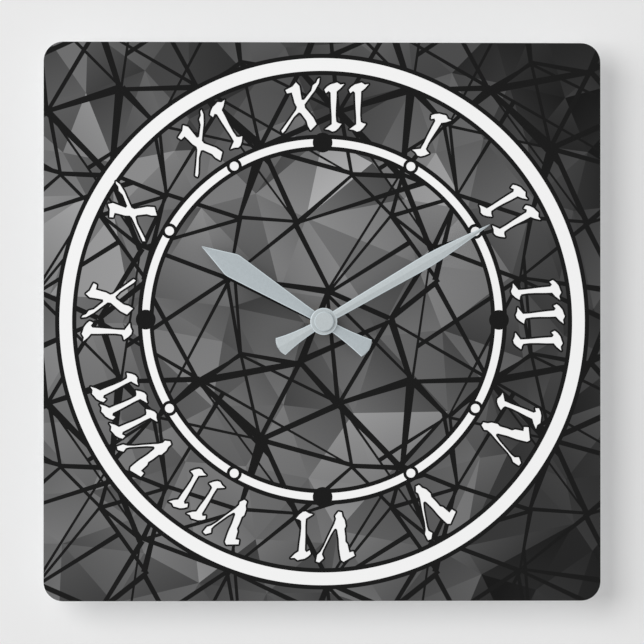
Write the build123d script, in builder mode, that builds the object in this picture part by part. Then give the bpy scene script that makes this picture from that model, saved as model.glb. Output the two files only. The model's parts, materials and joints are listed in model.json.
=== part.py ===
from build123d import *

import math
import os

# Square acrylic wall clock with a quartz movement behind the panel.
# The dial faces -Y, +X is to the viewer's right and +Z is up.  The origin is on
# the axis of the hands, in the plane of the wall.  Depths are measured in
# millimetres from the wall towards the viewer.

os.makedirs("parts", exist_ok=True)

# ---- driving dimensions ----------------------------------------------------
panel_side = 273.0
panel_corner = 9.5
panel_thickness = 3.2
print_thickness = 0.15

case_side = 56.0
case_depth = 16.0
case_wall = 1.2
case_corner = 2.5

bushing_radius = 3.95
bushing_bore = 2.55
bushing_end = 24.4
thread_pitch = 0.8
thread_depth = 0.25

hour_tube_radius = 2.5
minute_arbor_radius = 1.6
second_shaft_radius = 0.5
running_clearance = 0.05

hour_hand_angle = 148.4
minute_hand_angle = 30.2

# ---- stack of pieces in front of the movement ------------------------------
hanger_thickness = 0.8
gasket_thickness = 1.0
washer_thickness = 0.5
nut_thickness = 2.0

hanger_level = case_depth
gasket_level = hanger_level + hanger_thickness
panel_level = gasket_level + gasket_thickness
print_level = panel_level + panel_thickness
washer_level = print_level + print_thickness
nut_level = washer_level + washer_thickness

hour_blade_level = 25.6
hour_blade_thickness = 0.7
minute_blade_level = 27.6
minute_blade_thickness = 0.7
hub_radius = 6.6
cap_radius = 4.75
cap_height = 1.9

# ---- gear train: teeth, and centre distances from the hands' axis ----------
rotor_teeth = 8
intermediate_teeth = 40
intermediate_pinion = 8
second_teeth = 48
second_pinion = 8
third_teeth = 60
third_pinion = 8
centre_teeth = 64
minute_pinion = 12
motion_teeth = 36
motion_pinion = 10
hour_teeth = 40

third_distance = 10.5
motion_distance = 10.8
intermediate_distance = 10.78
rotor_distance = 7.2

third_direction = 0.0
motion_direction = 160.0
intermediate_direction = 60.0
rotor_direction = 150.0

wheel_width = 1.0
hour_wheel_level = 13.6
motion_wheel_level = 12.45
centre_wheel_level = 11.2
third_wheel_level = 9.7
second_wheel_level = 8.2
intermediate_wheel_level = 6.7
plate_level = 4.6
plate_thickness = 1.2
front_wall_level = case_depth - case_wall
pivot_radius = 0.35
pivot_length = 0.7


def level(depth, x=0.0, z=0.0, angle=0.0):
    """Plane parallel to the dial, `depth` in front of the wall, centred on (x, z)."""
    turn = math.radians(angle)
    along = (math.cos(turn), 0, math.sin(turn))
    return Plane(origin=(x, -depth, z), x_dir=along, z_dir=(0, -1, 0))


def polar(distance, direction, start=(0.0, 0.0)):
    """Point at `distance` from `start`, at `direction` degrees from +X towards +Z."""
    turn = math.radians(direction)
    return (start[0] + distance * math.cos(turn), start[1] + distance * math.sin(turn))


# ---- axes of the train -----------------------------------------------------
centre_axis = (0.0, 0.0)
third_axis = polar(third_distance, third_direction)
motion_axis = polar(motion_distance, motion_direction)
intermediate_axis = polar(intermediate_distance, intermediate_direction)
rotor_axis = polar(rotor_distance, rotor_direction, intermediate_axis)


def mesh_module(distance, wheel, pinion):
    """Module of a pair of gears whose axes are `distance` apart."""
    return 2 * distance / (wheel + pinion)


def mesh_phase(teeth, phase, direction, mate_teeth):
    """Phase that puts a gap of the mate on each tooth of the gear that drives it.

    Phases are the angle of one tooth in degrees, and `direction` is the
    direction of the line from the gear's axis to the mate's axis.
    """
    share = (direction - phase) * teeth / 360
    return direction + 180 - (0.5 - share) * 360 / mate_teeth


def gear_outline(teeth, module, phase):
    """Closed outline of a straight-sided gear, one tooth after the other."""
    pitch_radius = module * teeth / 2
    tip_radius = pitch_radius + 0.85 * module
    root_radius = pitch_radius - 1.15 * module
    pitch_angle = 360 / teeth
    corners = ((root_radius, -0.25), (tip_radius, -0.10), (tip_radius, 0.10), (root_radius, 0.25))
    return [
        polar(radius, phase + (tooth + share) * pitch_angle)
        for tooth in range(teeth)
        for radius, share in corners
    ]


def train_piece(label, axis, gears, journals, bore=0.0):
    """Wheel, pinion and arbor moulded in one piece, with an optional bore.

    gears: (level, width, outline); journals: (start level, end level, radius).
    """
    with BuildPart() as piece:
        for start, width, outline in gears:
            with BuildSketch(level(start, *axis)):
                with BuildLine():
                    Polyline(*outline, close=True)
                make_face()
            extrude(amount=width)
        for start, end, radius in journals:
            with BuildSketch(level(start, *axis)):
                Circle(radius)
            extrude(amount=end - start)
        if bore:
            with BuildSketch(level(0, *axis)):
                Circle(bore)
            extrude(amount=2 * case_depth, mode=Mode.SUBTRACT)
    piece.part.label = label
    export_step(piece.part, f"parts/{label}.step")


# ---- panel and its print ---------------------------------------------------
panel_hole = 4.15
edge_break = 0.3

with BuildPart() as face_panel:
    with BuildSketch(level(panel_level)):
        RectangleRounded(panel_side, panel_side, panel_corner)
        Circle(panel_hole, mode=Mode.SUBTRACT)
    extrude(amount=panel_thickness)
    rims = face_panel.faces().filter_by(Axis.Y).sort_by(Axis.Y)
    chamfer(rims[-1].outer_wire().edges(), length=edge_break)
face_panel.part.label = "face_panel"
export_step(face_panel.part, "parts/face_panel.step")

with BuildPart() as dial_print:
    with BuildSketch(level(print_level)):
        RectangleRounded(panel_side, panel_side, panel_corner)
        Circle(panel_hole, mode=Mode.SUBTRACT)
    extrude(amount=print_thickness)
dial_print.part.label = "dial_print"
export_step(dial_print.part, "parts/dial_print.step")

# ---- gasket, washer and nut that clamp the movement to the panel -----------
gasket_radius = 12.0
washer_radius = 6.0
nut_flats = 11.0
fastener_bore = 4.0

with BuildPart() as rubber_gasket:
    with BuildSketch(level(gasket_level)):
        Circle(gasket_radius)
        Circle(fastener_bore, mode=Mode.SUBTRACT)
    extrude(amount=gasket_thickness)
rubber_gasket.part.label = "rubber_gasket"
export_step(rubber_gasket.part, "parts/rubber_gasket.step")

with BuildPart() as front_washer:
    with BuildSketch(level(washer_level)):
        Circle(washer_radius)
        Circle(fastener_bore, mode=Mode.SUBTRACT)
    extrude(amount=washer_thickness)
front_washer.part.label = "front_washer"
export_step(front_washer.part, "parts/front_washer.step")

with BuildPart() as mounting_nut:
    with BuildSketch(level(nut_level)):
        RegularPolygon(nut_flats / 2, 6, major_radius=False)
        Circle(fastener_bore, mode=Mode.SUBTRACT)
    extrude(amount=nut_thickness)
    nut_faces = mounting_nut.faces().filter_by(Axis.Y).sort_by(Axis.Y)
    chamfer(nut_faces[0].outer_wire().edges(), length=edge_break)
mounting_nut.part.label = "mounting_nut"
export_step(mounting_nut.part, "parts/mounting_nut.step")

# ---- bent steel hanger, held between the case and the gasket ----------------
hanger_width = 20.0
hanger_foot = -9.0
hanger_step = case_side / 2 + 0.2
hanger_top = 44.0
hanger_rear = 1.2
keyhole_height = 35.5
keyhole_radius = 4.0
keyhole_slot_width = 3.4
keyhole_slot_top = 40.5
hanger_bend = 0.6
hanger_corner = 4.0
keyhole_cut = 5.0

with BuildPart() as hanger_bracket:
    with BuildSketch(Plane.YZ.offset(-hanger_width / 2)):
        with BuildLine():
            front, rear = -gasket_level, -hanger_rear
            Polyline(
                (front, hanger_foot),
                (front, hanger_step + hanger_thickness),
                (rear - hanger_thickness, hanger_step + hanger_thickness),
                (rear - hanger_thickness, hanger_top),
                (rear, hanger_top),
                (rear, hanger_step),
                (front + hanger_thickness, hanger_step),
                (front + hanger_thickness, hanger_foot),
                close=True,
            )
        make_face()
    extrude(amount=hanger_width)
    with BuildSketch(level(0)):
        Circle(fastener_bore)
    extrude(amount=2 * case_depth, mode=Mode.SUBTRACT)
    with BuildSketch(level(0, 0, keyhole_height)):
        Circle(keyhole_radius)
        slot_length = keyhole_slot_top - keyhole_height
        with Locations((0, slot_length / 2)):
            Rectangle(keyhole_slot_width, slot_length)
        with Locations((0, slot_length)):
            Circle(keyhole_slot_width / 2)
    extrude(amount=keyhole_cut, mode=Mode.SUBTRACT)
    bends = hanger_bracket.edges().filter_by(Axis.X).group_by(Axis.Z)
    fillet(bends[2] + bends[1], radius=hanger_bend)
    corners = hanger_bracket.edges().filter_by(Axis.Y).group_by(Axis.Z)
    fillet(corners[-1], radius=hanger_corner)
hanger_bracket.part.label = "hanger_bracket"
export_step(hanger_bracket.part, "parts/hanger_bracket.step")

# ---- movement case: train chamber, battery bay and threaded bushing --------
cover_thickness = 1.2
cover_gap = 0.1
cover_lap = 0.7
ledge = 0.4
case_front_round = 0.8
chamber_floor = -10.2
chamber_half = case_side / 2 - case_wall - ledge
seat_half = case_side / 2 - case_wall

battery_radius = 7.1
battery_length = 50.5
battery_axis_z = -19.1
battery_depth = 7.85
bay_radius = 7.35
bay_half_length = case_side / 2 - case_wall

slot_level = 8.0
slot_depth = 4.0
slot_width = 0.9
slot_height = 3.2
slot_drop = 1.1

boss_radius = 0.95
pivot_play = 0.1
plate_posts = [(-22.5, 21.5), (8.2, 17.6), (-22.5, -6.0), (23.0, -6.5)]
post_radius = 1.7
screw_radius = 0.65
plate_screw_hole = 5.0
stator_screw_hole = 2.0
board_posts = [(17.0, 24.3), (22.5, 14.6)]
board_level = 6.6
board_thickness = 0.8
board_post_radius = 1.3
board_pin_radius = 0.6
board_pin_stub = 0.4
stator_level = 9.5
stator_thickness = 1.2
stator_posts = [(-11.0, 23.0), (11.0, 23.0)]
intermediate_boss_end = 10.0
third_boss_end = 12.5
rotor_boss_end = 12.2

thread_lead = 0.4
thread_half_width = 0.35
thread_overcut = 0.1

with BuildPart() as movement_case:
    with BuildSketch(level(0)):
        RectangleRounded(case_side, case_side, case_corner)
    extrude(amount=case_depth)
    front_edges = movement_case.faces().sort_by(Axis.Y)[0].outer_wire().edges()
    fillet(front_edges, radius=case_front_round)
    # seat of the rear cover
    with BuildSketch(level(0)):
        with Locations((0, (chamber_floor - cover_lap + seat_half) / 2)):
            Rectangle(2 * seat_half, seat_half - chamber_floor + cover_lap)
    extrude(amount=cover_thickness, mode=Mode.SUBTRACT)
    # train chamber
    with BuildSketch(level(0)):
        with Locations((0, (chamber_floor + chamber_half) / 2)):
            Rectangle(2 * chamber_half, chamber_half - chamber_floor)
    extrude(amount=front_wall_level, mode=Mode.SUBTRACT)
    # battery bay: a straight-sided mouth with a round floor
    with BuildSketch(level(0, 0, battery_axis_z)):
        Rectangle(2 * bay_half_length, 2 * bay_radius)
    extrude(amount=battery_depth, mode=Mode.SUBTRACT)
    with BuildSketch(Plane.YZ.offset(-bay_half_length)):
        with Locations((-battery_depth, battery_axis_z)):
            Circle(bay_radius)
    extrude(amount=2 * bay_half_length, mode=Mode.SUBTRACT)
    # slots through which the battery contacts enter the chamber
    for side in (-1, 1):
        slot_x = side * (chamber_half - running_clearance)
        with BuildSketch(level(slot_level, slot_x, chamber_floor - slot_drop)):
            Rectangle(slot_width, slot_height)
        extrude(amount=slot_depth, mode=Mode.SUBTRACT)
    # posts and bearing bosses on the inside of the front wall
    for post in plate_posts:
        with BuildSketch(level(plate_level + plate_thickness, *post)):
            Circle(post_radius)
        extrude(amount=front_wall_level - plate_level - plate_thickness)
    for post in stator_posts:
        with BuildSketch(level(stator_level + 2 * stator_thickness, *post)):
            Circle(post_radius)
        extrude(amount=front_wall_level - stator_level - 2 * stator_thickness)
    for post in board_posts:
        with BuildSketch(level(board_level + board_thickness, *post)):
            Circle(board_post_radius)
        extrude(amount=front_wall_level - board_level - board_thickness)
        with BuildSketch(level(board_level - board_pin_stub, *post)):
            Circle(board_pin_radius)
        extrude(amount=board_thickness + 2 * board_pin_stub)
    for axis, boss_end in (
        (third_axis, third_boss_end),
        (intermediate_axis, intermediate_boss_end),
        (rotor_axis, rotor_boss_end),
    ):
        with BuildSketch(level(boss_end, *axis)):
            Circle(boss_radius)
        extrude(amount=front_wall_level - boss_end)
        with BuildSketch(level(boss_end, *axis)):
            Circle(pivot_radius + running_clearance)
        extrude(amount=pivot_length + pivot_play, mode=Mode.SUBTRACT)
    with BuildSketch(level(front_wall_level, *motion_axis)):
        Circle(pivot_radius + running_clearance)
    extrude(amount=pivot_length + pivot_play, mode=Mode.SUBTRACT)
    # screw holes in the posts
    for post in plate_posts:
        with BuildSketch(level(plate_level + plate_thickness, *post)):
            Circle(screw_radius)
        extrude(amount=plate_screw_hole, mode=Mode.SUBTRACT)
    for post in stator_posts:
        with BuildSketch(level(stator_level + 2 * stator_thickness, *post)):
            Circle(screw_radius)
        extrude(amount=stator_screw_hole, mode=Mode.SUBTRACT)
    # threaded bushing
    with BuildSketch(level(case_depth)):
        Circle(bushing_radius)
    extrude(amount=bushing_end - case_depth)
    thread_count = int((bushing_end - nut_level - thread_lead) / thread_pitch)
    for turn in range(thread_count):
        groove = bushing_end - thread_lead - (turn + 0.5) * thread_pitch
        with BuildSketch(Plane.XY):
            with BuildLine():
                Polyline(
                    (bushing_radius - thread_depth, -groove),
                    (bushing_radius + thread_overcut, -groove - thread_half_width),
                    (bushing_radius + thread_overcut, -groove + thread_half_width),
                    close=True,
                )
            make_face()
        revolve(axis=Axis.Y, mode=Mode.SUBTRACT)
    with BuildSketch(level(front_wall_level - 1)):
        Circle(bushing_bore)
    extrude(amount=bushing_end, mode=Mode.SUBTRACT)
movement_case.part.label = "movement_case"
export_step(movement_case.part, "parts/movement_case.step")

# ---- rear cover, flush with the rim of the case -----------------------------
knob_radius = 5.5
knob_well_radius = 6.1
knob_level = 0.3
knob_thickness = 2.6
knob_floor = 0.6
collar_width = 0.8
collar_height = 1.2
finger_slot_length = 9.0
finger_slot_width = 1.2
finger_slot_depth = 0.6

with BuildPart() as rear_cover:
    cover_top = seat_half - cover_gap
    cover_foot = chamber_floor - cover_lap + cover_gap
    with BuildSketch(level(0)):
        with Locations((0, (cover_top + cover_foot) / 2)):
            Rectangle(2 * cover_top, cover_top - cover_foot)
        with Locations(motion_axis):
            Circle(knob_well_radius, mode=Mode.SUBTRACT)
    extrude(amount=cover_thickness)
    # raised collar that guards the knob, on the inside
    with BuildSketch(level(cover_thickness, *motion_axis)):
        Circle(knob_well_radius + collar_width)
        Circle(knob_well_radius, mode=Mode.SUBTRACT)
    extrude(amount=collar_height)
    # finger slot for lifting the cover off
    with BuildSketch(level(0, 0, cover_top - finger_slot_width)):
        Rectangle(finger_slot_length, finger_slot_width)
    extrude(amount=finger_slot_depth, mode=Mode.SUBTRACT)
rear_cover.part.label = "rear_cover"
export_step(rear_cover.part, "parts/rear_cover.step")

# ---- train plate that carries the rear pivots, and its screws ---------------
plate_left, plate_right = -25.6, 25.6
plate_foot, plate_top = -9.4, 25.6
plate_corner = 2.0
window_corner = 1.0
coil_window_centre, coil_window_size = (4.5, 23.4), (44.0, 5.6)
board_window_centre, board_window_size = (20.0, 18.6), (13.0, 12.0)
motion_arbor_radius = 0.8

with BuildPart() as train_plate:
    with BuildSketch(level(plate_level)):
        with Locations(((plate_left + plate_right) / 2, (plate_foot + plate_top) / 2)):
            RectangleRounded(plate_right - plate_left, plate_top - plate_foot, plate_corner)
        # windows over the coil and the circuit board
        with Locations(coil_window_centre):
            RectangleRounded(*coil_window_size, window_corner, mode=Mode.SUBTRACT)
        with Locations(board_window_centre):
            RectangleRounded(*board_window_size, window_corner, mode=Mode.SUBTRACT)
        for post in plate_posts:
            with Locations(post):
                Circle(screw_radius, mode=Mode.SUBTRACT)
        for axis in (centre_axis, third_axis, intermediate_axis, rotor_axis):
            with Locations(axis):
                Circle(pivot_radius + running_clearance, mode=Mode.SUBTRACT)
        with Locations(motion_axis):
            Circle(motion_arbor_radius + running_clearance, mode=Mode.SUBTRACT)
    extrude(amount=plate_thickness)
train_plate.part.label = "train_plate"
export_step(train_plate.part, "parts/train_plate.step")

screw_head_radius = 1.5
screw_head_height = 0.9
recess_length, recess_width, recess_depth = 1.8, 0.4, 0.5
plate_screw_grip = 4.5
stator_screw_grip = 1.6

with BuildPart() as plate_screws:
    for post in plate_posts:
        with BuildSketch(level(plate_level - screw_head_height, *post)):
            Circle(screw_head_radius)
        extrude(amount=screw_head_height)
        with BuildSketch(level(plate_level, *post)):
            Circle(screw_radius)
        extrude(amount=plate_thickness + plate_screw_grip)
        with BuildSketch(level(plate_level - screw_head_height, *post)):
            Rectangle(recess_length, recess_width)
            Rectangle(recess_width, recess_length)
        extrude(amount=recess_depth, mode=Mode.SUBTRACT)
plate_screws.part.label = "plate_screws"
export_step(plate_screws.part, "parts/plate_screws.step")

# ---- battery and its contacts -----------------------------------------------
nub_radius = 2.75
nub_length = 1.3
nub_end = 26.0
body_end = nub_end - nub_length
body_start = nub_end - battery_length
shell_round = 0.5
contact_thickness = 0.3
strip_width = 1.4
strip_level = 13.2
tail_level = 9.0
tail_width = 2.0
link_height = 1.0
link_level = 10.0
contact_plate_width, contact_plate_height, contact_plate_corner = 9.0, 11.0, 1.2
contact_pip_radius = 1.8
pad_length, pad_width = 1.8, 1.6
positive_pad_rise = 1.0

with BuildPart() as aa_battery:
    with BuildSketch(Plane.YZ.offset(body_start)):
        with Locations((-battery_depth, battery_axis_z)):
            Circle(battery_radius)
    extrude(amount=body_end - body_start)
    fillet(aa_battery.edges().filter_by(GeomType.CIRCLE), radius=shell_round)
    with BuildSketch(Plane.YZ.offset(body_end)):
        with Locations((-battery_depth, battery_axis_z)):
            Circle(nub_radius)
    extrude(amount=nub_length)
aa_battery.part.label = "aa_battery"
export_step(aa_battery.part, "parts/aa_battery.step")

board_foot, board_top = 13.0, 26.0
board_left, board_right = 15.0, 26.2

with BuildPart() as positive_contact:
    plate_x = bay_half_length - contact_thickness
    tail_x = chamber_half - contact_thickness / 2
    pad_z = board_foot + positive_pad_rise
    with BuildSketch(Plane.YZ.offset(plate_x)):
        with Locations((-battery_depth, battery_axis_z)):
            RectangleRounded(contact_plate_width, contact_plate_height, contact_plate_corner)
    extrude(amount=contact_thickness)
    with BuildSketch(Plane.YZ.offset(nub_end + running_clearance)):
        with Locations((-battery_depth, battery_axis_z)):
            Circle(contact_pip_radius)
    extrude(amount=plate_x - nub_end)
    # tail up the side wall to the circuit board
    with BuildSketch(level(tail_level, tail_x, (battery_axis_z + board_foot) / 2 + 1)):
        Rectangle(contact_thickness, board_foot - battery_axis_z + 2)
    extrude(amount=tail_width)
    with BuildSketch(Plane.XY.offset(battery_axis_z)):
        with Locations(((bay_half_length + chamber_half - contact_thickness) / 2, -link_level)):
            Rectangle(bay_half_length - chamber_half + contact_thickness, tail_width)
    extrude(amount=link_height)
    # pad that rests on the circuit board
    with BuildSketch(level(board_level + board_thickness, chamber_half - pad_length / 2, pad_z)):
        Rectangle(pad_length, pad_width)
    extrude(amount=contact_thickness)
    with BuildSketch(level(board_level + board_thickness, tail_x, pad_z)):
        Rectangle(contact_thickness, pad_width)
    extrude(amount=tail_width)
positive_contact.part.label = "positive_contact"
export_step(positive_contact.part, "parts/positive_contact.step")

leaf_rise = 1.9
leaf_half = 4.5
leaf_width = 6.0
leaf_heel = 1.0
leaf_lip = 0.6
leaf_nose_outer, leaf_nose_inner = 1.0, 0.7
negative_link_rise = 2.0
divider_strip_length = 5.6
riser_inset = 0.8
negative_pad_rise = 2.6
negative_pad_width = 0.8

with BuildPart() as negative_contact:
    inner = -bay_half_length
    skin = contact_thickness
    top = -battery_depth + leaf_half
    bottom = -battery_depth - leaf_half
    # back plate and the leaf that bows towards the battery
    with BuildSketch(Plane.XY.offset(battery_axis_z - leaf_width / 2)):
        with BuildLine():
            Polyline(
                (inner, bottom - leaf_heel),
                (inner, top + leaf_heel),
                (inner + skin, top + leaf_heel),
                (inner + skin, top - leaf_lip + 0.2),
                (inner + leaf_rise + skin, -battery_depth + leaf_nose_outer),
                (inner + leaf_rise + skin, -battery_depth - leaf_nose_outer),
                (inner + 2.3 * skin, bottom + leaf_lip),
                (inner + 1.3 * skin, bottom + leaf_lip + skin),
                (inner + leaf_rise, -battery_depth - leaf_nose_inner),
                (inner + leaf_rise, -battery_depth + leaf_nose_inner),
                (inner + skin, top - leaf_heel),
                (inner + skin, bottom - leaf_heel),
                close=True,
            )
        make_face()
    extrude(amount=leaf_width)
    # tail through the divider, then a strip along it and up to the circuit board
    tail_x = -chamber_half + contact_thickness / 2
    tail_foot = battery_axis_z + leaf_width / 2
    divider_z = chamber_floor + contact_thickness / 2
    with BuildSketch(level(tail_level, tail_x, (tail_foot + chamber_floor) / 2)):
        Rectangle(contact_thickness, chamber_floor - tail_foot + 1)
    extrude(amount=tail_width)
    with BuildSketch(Plane.XY.offset(battery_axis_z + negative_link_rise)):
        with Locations(((contact_thickness - bay_half_length - chamber_half) / 2, -link_level)):
            Rectangle(bay_half_length - chamber_half + contact_thickness, tail_width)
    extrude(amount=link_height)
    with BuildSketch(level(tail_level, tail_x, divider_z)):
        Rectangle(contact_thickness, contact_thickness)
    extrude(amount=divider_strip_length)
    riser_x = chamber_half - riser_inset
    with BuildSketch(level(strip_level, 0, divider_z)):
        Rectangle(2 * riser_x, contact_thickness)
        with Locations((-chamber_half + 0.6, 0)):
            Rectangle(1.2, contact_thickness)
    extrude(amount=strip_width)
    pad_z = board_foot + negative_pad_rise
    riser_top = pad_z + negative_pad_width / 2
    with BuildSketch(level(strip_level, riser_x, (chamber_floor + riser_top) / 2)):
        Rectangle(contact_thickness, riser_top - chamber_floor)
    extrude(amount=strip_width)
    with BuildSketch(level(board_level + board_thickness, riser_x, pad_z)):
        Rectangle(contact_thickness, negative_pad_width)
    extrude(amount=strip_level - board_level - board_thickness + strip_width)
negative_contact.part.label = "negative_contact"
export_step(negative_contact.part, "parts/negative_contact.step")

# ---- circuit board, chip and crystal ----------------------------------------
chip_place = (19.2, 18.4)
chip_radius = 2.2
crystal_place = (23.4, 21.2)
crystal_radius = 1.0
crystal_length = 6.0
crystal_round = 0.3
crystal_lead_length = 1.6
crystal_lead_radius = 0.15
crystal_lead_spread = 0.4
chip_height = 0.9
chip_round = 0.6
component_level = board_level + board_thickness

with BuildPart() as circuit_board:
    with BuildSketch(level(board_level)):
        with Locations(((board_left + board_right) / 2, (board_foot + board_top) / 2)):
            Rectangle(board_right - board_left, board_top - board_foot)
        for post in board_posts:
            with Locations(post):
                Circle(board_pin_radius, mode=Mode.SUBTRACT)
    extrude(amount=board_thickness)
circuit_board.part.label = "circuit_board"
export_step(circuit_board.part, "parts/circuit_board.step")

with BuildPart() as driver_chip:
    with BuildSketch(level(component_level, *chip_place)):
        Circle(chip_radius)
    extrude(amount=chip_height)
    fillet(driver_chip.edges().group_by(Axis.Y)[0], radius=chip_round)
driver_chip.part.label = "driver_chip"
export_step(driver_chip.part, "parts/driver_chip.step")

with BuildPart() as quartz_crystal:
    can_depth = component_level + crystal_radius
    can_foot = crystal_place[1] - crystal_length / 2
    with BuildSketch(Plane.XY.offset(can_foot)):
        with Locations((crystal_place[0], -can_depth)):
            Circle(crystal_radius)
    extrude(amount=crystal_length)
    fillet(quartz_crystal.edges().group_by(Axis.Z)[-1], radius=crystal_round)
    for side in (-crystal_lead_spread, crystal_lead_spread):
        with BuildSketch(Plane.XY.offset(can_foot - crystal_lead_length)):
            with Locations((crystal_place[0] + side, -can_depth)):
                Circle(crystal_lead_radius)
        extrude(amount=crystal_lead_length)
quartz_crystal.part.label = "quartz_crystal"
export_step(quartz_crystal.part, "parts/quartz_crystal.step")

# ---- stepping motor: stator, core, bobbin, winding and rotor ----------------
magnet_radius = 2.9
magnet_level = 9.5
magnet_height = 2.2
magnet_bore = 0.6
stator_hole = 3.3
stator_ring = 4.7
leg_x = 11.0
leg_width = 4.0
bar_foot, bar_top = 12.6, 16.2
core_z = 23.0
core_width = 3.0
core_level = stator_level + stator_thickness
bobbin_half = 8.4
flange_thickness = 0.9
flange_half = 3.2
winding_half = 2.8
winding_corner = 1.2
core_gap = 0.1
tube_wall = 0.6
leg_overhang = 2.0
post_clearance = 0.15

with BuildPart() as stator:
    with BuildSketch(level(stator_level)):
        with Locations((0, (bar_foot + bar_top) / 2)):
            Rectangle(2 * leg_x - leg_width, bar_top - bar_foot)
        for side in (-1, 1):
            with Locations((side * leg_x, (bar_foot + core_z + leg_overhang) / 2)):
                Rectangle(leg_width, core_z + leg_overhang - bar_foot)
        with Locations(rotor_axis):
            Circle(stator_ring)
            Circle(stator_hole, mode=Mode.SUBTRACT)
        for post in stator_posts:
            with Locations(post):
                Circle(screw_radius, mode=Mode.SUBTRACT)
        # clearance round the post that holds the train plate
        with Locations(plate_posts[1]):
            Circle(post_radius + post_clearance, mode=Mode.SUBTRACT)
    extrude(amount=stator_thickness)
stator.part.label = "stator"
export_step(stator.part, "parts/stator.step")

with BuildPart() as coil_core:
    with BuildSketch(level(core_level, 0, core_z)):
        Rectangle(2 * leg_x + leg_width, core_width)
        for side in (-leg_x, leg_x):
            with Locations((side, 0)):
                Circle(screw_radius, mode=Mode.SUBTRACT)
    extrude(amount=stator_thickness)
coil_core.part.label = "coil_core"
export_step(coil_core.part, "parts/coil_core.step")

coil_depth = core_level + stator_thickness / 2

with BuildPart() as coil_bobbin:
    with BuildSketch(Plane.YZ.offset(-bobbin_half)):
        with Locations((-coil_depth, core_z)):
            Rectangle(stator_thickness + 2 * tube_wall, core_width + 1.0)
    extrude(amount=2 * bobbin_half)
    for start in (-bobbin_half, bobbin_half - flange_thickness):
        with BuildSketch(Plane.YZ.offset(start)):
            with Locations((-coil_depth, core_z)):
                Rectangle(2 * flange_half, 2 * flange_half)
        extrude(amount=flange_thickness)
    with BuildSketch(Plane.YZ.offset(-bobbin_half)):
        with Locations((-coil_depth, core_z)):
            Rectangle(stator_thickness + core_gap, core_width + core_gap)
    extrude(amount=2 * bobbin_half, mode=Mode.SUBTRACT)
coil_bobbin.part.label = "coil_bobbin"
export_step(coil_bobbin.part, "parts/coil_bobbin.step")

with BuildPart() as coil_winding:
    half = bobbin_half - flange_thickness
    with BuildSketch(Plane.YZ.offset(-half)):
        with Locations((-coil_depth, core_z)):
            RectangleRounded(2 * winding_half, 2 * winding_half + 0.4, winding_corner)
            Rectangle(stator_thickness + 2 * tube_wall, core_width + 1.0, mode=Mode.SUBTRACT)
    extrude(amount=2 * half)
coil_winding.part.label = "coil_winding"
export_step(coil_winding.part, "parts/coil_winding.step")

lead_radius = 0.12
lead_heights = (21.4, 24.6)
lead_length = 7.0
lead_drop = 2.0

with BuildPart() as coil_leads:
    for height in lead_heights:
        with BuildSketch(Plane.YZ.offset(bobbin_half)):
            with Locations((-component_level - lead_radius, height)):
                Circle(lead_radius)
        extrude(amount=lead_length)
        with BuildSketch(level(component_level, bobbin_half + lead_radius, height)):
            Circle(lead_radius)
        extrude(amount=lead_drop)
coil_leads.part.label = "coil_leads"
export_step(coil_leads.part, "parts/coil_leads.step")

with BuildPart() as stator_screws:
    for post in stator_posts:
        with BuildSketch(level(stator_level - screw_head_height, *post)):
            Circle(screw_head_radius)
        extrude(amount=screw_head_height)
        with BuildSketch(level(stator_level, *post)):
            Circle(screw_radius)
        extrude(amount=2 * stator_thickness + stator_screw_grip)
        with BuildSketch(level(stator_level - screw_head_height, *post)):
            Rectangle(recess_length, recess_width)
            Rectangle(recess_width, recess_length)
        extrude(amount=recess_depth, mode=Mode.SUBTRACT)
stator_screws.part.label = "stator_screws"
export_step(stator_screws.part, "parts/stator_screws.step")

# ---- gear phases, each taken from the gear that drives it --------------------
rotor_module = mesh_module(rotor_distance, intermediate_teeth, rotor_teeth)
second_module = mesh_module(intermediate_distance, second_teeth, intermediate_pinion)
third_module = mesh_module(third_distance, third_teeth, second_pinion)
centre_module = mesh_module(third_distance, centre_teeth, third_pinion)
motion_module = mesh_module(motion_distance, motion_teeth, minute_pinion)
hour_module = mesh_module(motion_distance, hour_teeth, motion_pinion)

intermediate_phase = mesh_phase(rotor_teeth, 0, rotor_direction + 180, intermediate_teeth)
second_phase = mesh_phase(intermediate_pinion, 0, intermediate_direction + 180, second_teeth)
third_phase = mesh_phase(second_pinion, 0, third_direction, third_teeth)
centre_phase = mesh_phase(third_pinion, 0, third_direction + 180, centre_teeth)
motion_phase = mesh_phase(minute_pinion, 0, motion_direction, motion_teeth)
hour_phase = mesh_phase(motion_pinion, 0, motion_direction + 180, hour_teeth)

rear_pivot = plate_level + 0.2
plate_front = plate_level + plate_thickness
pinion_width = 1.2
arbor_radius = 0.6
second_arbor_radius = 0.7
third_arbor_radius = 0.5
second_shaft_end = 28.0
minute_arbor_end = minute_blade_level + 2.2

with BuildPart() as rotor_magnet:
    with BuildSketch(level(magnet_level, *rotor_axis)):
        Circle(magnet_radius)
        Circle(magnet_bore, mode=Mode.SUBTRACT)
    extrude(amount=magnet_height)
rotor_magnet.part.label = "rotor_magnet"
export_step(rotor_magnet.part, "parts/rotor_magnet.step")

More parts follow.
